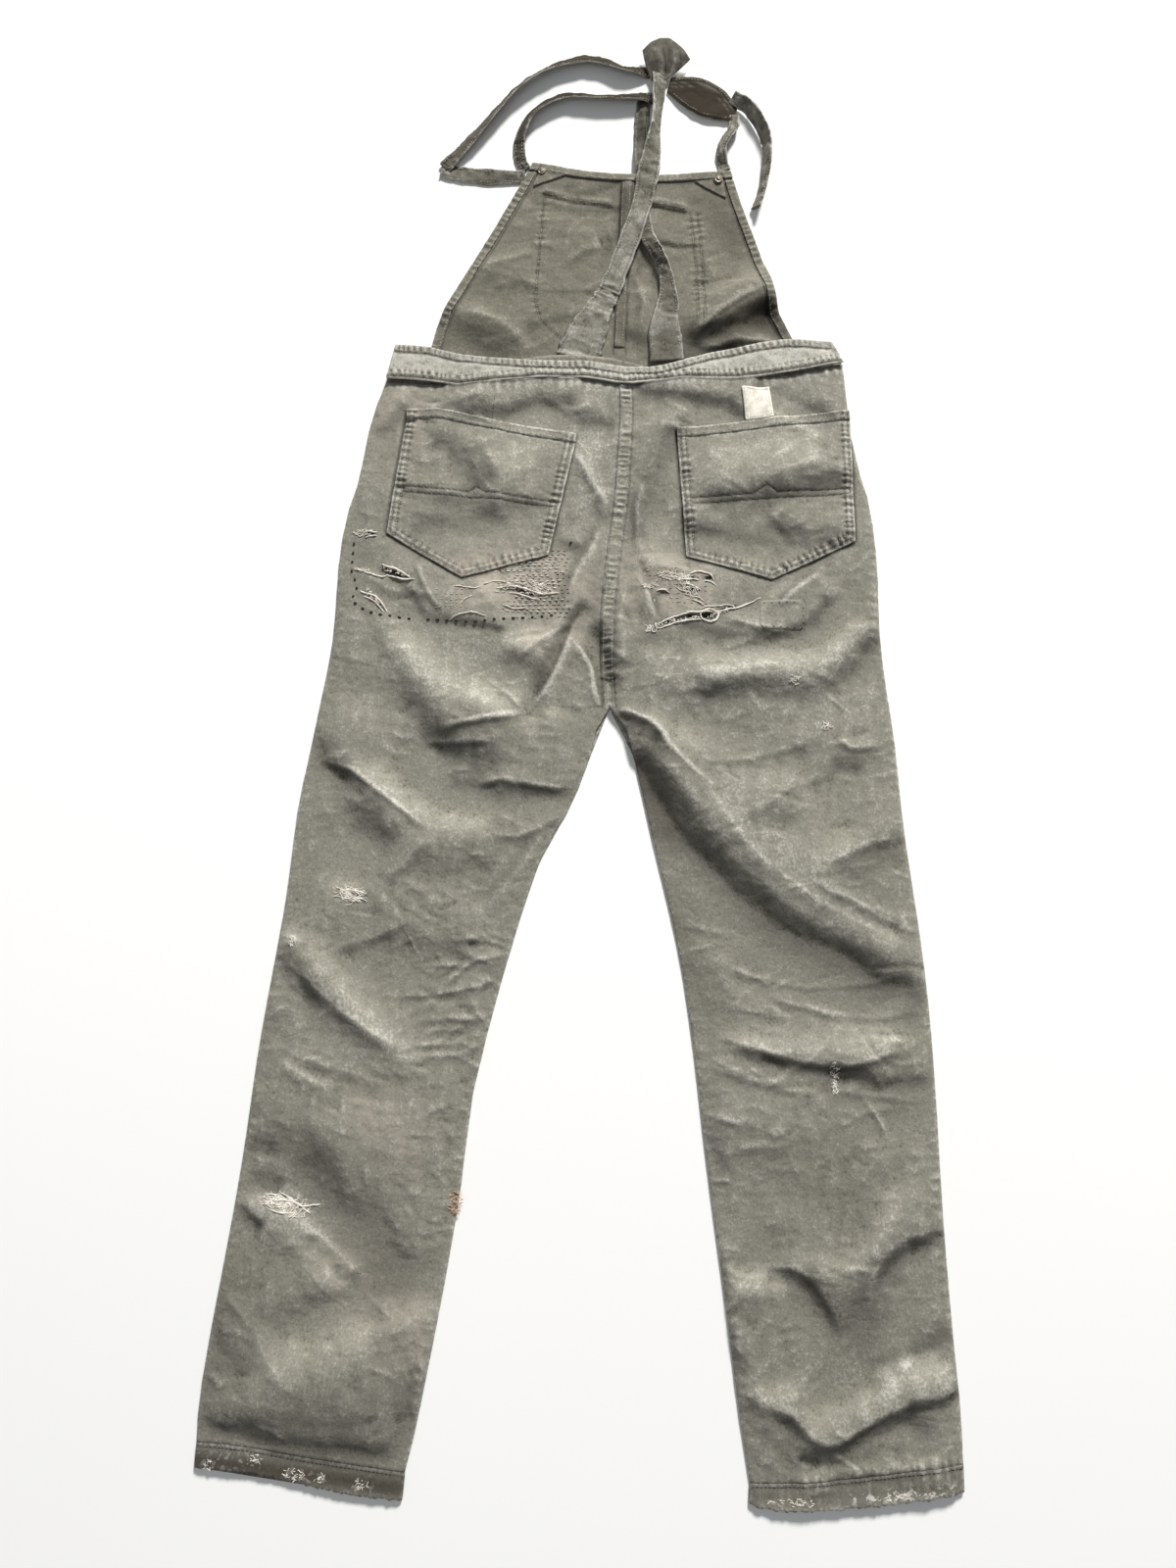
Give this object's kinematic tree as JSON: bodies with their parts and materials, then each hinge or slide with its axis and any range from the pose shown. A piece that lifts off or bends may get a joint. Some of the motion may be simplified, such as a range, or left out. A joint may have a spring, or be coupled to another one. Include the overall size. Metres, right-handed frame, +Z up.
{
  "type": "overalls",
  "caption": "Worn twill bib overalls laid flat with the back up: legs over each other, bib past the waistband, loose straps above.",
  "frame": {"origin": "on the surface, under the middle of the whole garment", "axes": "+Y from the leg hems towards the straps, +Z up out of the back, -X the wearer's left"},
  "size_m": [0.7044, 1.502, 0.0188],
  "materials": {
    "twill": "faded olive grey cotton twill, matte",
    "twill_inside": "inner face of the same twill, a little darker",
    "patch_cloth": "cream cotton label cloth, blank",
    "button_metal": "dark aged metal"
  },
  "bodies": {
    "root": {"back_leg_left": "twill", "back_leg_right": "twill", "back_pocket_left": "twill", "back_pocket_right": "twill", "bib": "twill_inside", "bib_button_left": "button_metal", "bib_button_right": "button_metal", "bib_centre_seam": "twill_inside", "bib_corner_left": "twill_inside", "bib_corner_right": "twill_inside", "bib_pocket_left": "twill", "bib_pocket_right": "twill", "bib_side_hem_left": "twill_inside", "bib_side_hem_right": "twill_inside", "bib_top_hem": "twill_inside", "centre_back_seam": "twill", "front_leg_left": "twill", "front_leg_right": "twill", "hem_back_left": "twill", "hem_back_right": "twill", "hem_front_left": "twill", "hem_front_right": "twill", "label_patch": "patch_cloth", "pocket_hem_left": "twill", "pocket_hem_right": "twill", "seat_patch_right": "twill", "strap_left_back": "twill", "strap_left_gusset": "twill", "strap_left_inner": "twill", "strap_left_outer": "twill", "strap_left_return": "twill", "strap_right_back": "twill", "strap_right_gusset": "twill", "strap_right_inner": "twill_inside", "strap_right_outer": "twill", "strap_right_turn": "twill", "strap_top_fold": "twill", "waistband_back": "twill", "waistband_back_inner": "twill_inside", "waistband_front": "twill"}
  },
  "joints": []
}
